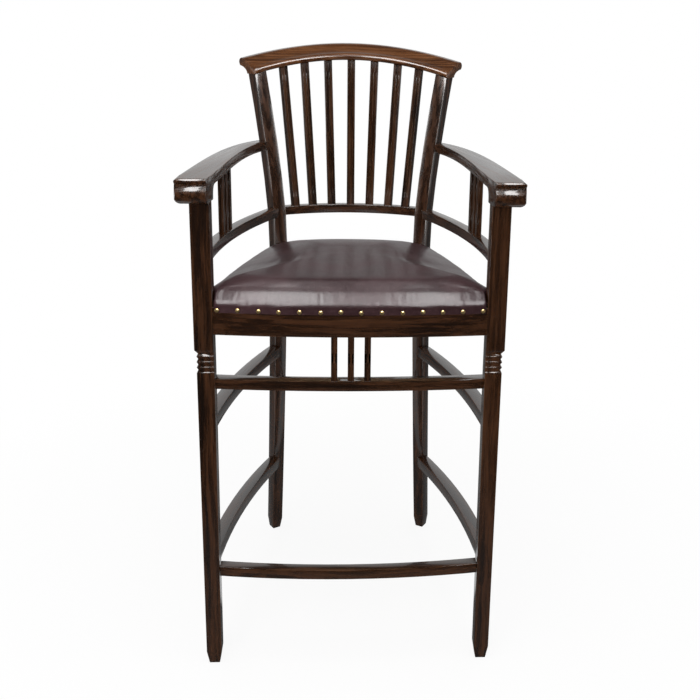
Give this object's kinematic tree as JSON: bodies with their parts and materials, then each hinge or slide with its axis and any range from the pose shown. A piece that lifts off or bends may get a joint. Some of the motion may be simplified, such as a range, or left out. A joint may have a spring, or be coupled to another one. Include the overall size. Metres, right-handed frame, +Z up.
{
  "type": "wooden bar stool with arms",
  "caption": "Tall dark-stained hardwood bar stool with a bowed, fanned slat back under a scrolled crest rail, flat drop-front arms, reeded front legs, foot rails and a nailed leather seat.",
  "frame": {"origin": "middle of the stool's footprint on the floor", "axes": "+Z up, the sitter faces -Y, +X to the right as seen from the front"},
  "size_m": [0.608, 0.6726, 1.1877],
  "materials": {
    "dark_wood": "very dark brown stained hardwood under semi-gloss lacquer",
    "crest_wood": "chestnut brown stained hardwood under semi-gloss lacquer",
    "inner_wood": "bare pale wood and plywood inside the seat frame",
    "foam": "plain upholstery foam, hidden under the leather",
    "leather": "glossy oxblood leather with fine grain",
    "nail_brass": "polished brass dome heads"
  },
  "bodies": {
    "root": {"front_leg_left": "dark_wood", "front_leg_right": "dark_wood", "back_post_left": "dark_wood", "back_post_right": "dark_wood", "front_seat_rail": "dark_wood", "side_seat_rail_left": "dark_wood", "side_seat_rail_right": "dark_wood", "back_seat_rail": "dark_wood", "front_upper_stretcher": "dark_wood", "foot_rail": "dark_wood", "front_spindle_1": "dark_wood", "front_spindle_2": "dark_wood", "front_spindle_3": "dark_wood", "upper_side_stretcher_left": "dark_wood", "upper_side_stretcher_right": "dark_wood", "lower_side_stretcher_left": "dark_wood", "lower_side_stretcher_right": "dark_wood", "armrest_left": "dark_wood", "armrest_right": "dark_wood", "arm_rail_left": "dark_wood", "arm_rail_right": "dark_wood", "arm_spindle_1_left": "dark_wood", "arm_spindle_1_right": "dark_wood", "arm_spindle_2_left": "dark_wood", "arm_spindle_2_right": "dark_wood", "arm_spindle_3_left": "dark_wood", "arm_spindle_3_right": "dark_wood", "crest_rail": "crest_wood", "lower_back_rail": "dark_wood", "back_slat_1": "dark_wood", "back_slat_2": "dark_wood", "back_slat_3": "dark_wood", "back_slat_4": "dark_wood", "back_slat_5": "dark_wood", "back_slat_6": "dark_wood", "back_slat_7": "dark_wood", "front_corner_block_left": "inner_wood", "front_corner_block_right": "inner_wood", "back_corner_block_left": "inner_wood", "back_corner_block_right": "inner_wood", "seat_board": "inner_wood", "seat_foam": "foam", "seat_cover": "leather"}
  },
  "joints": []
}
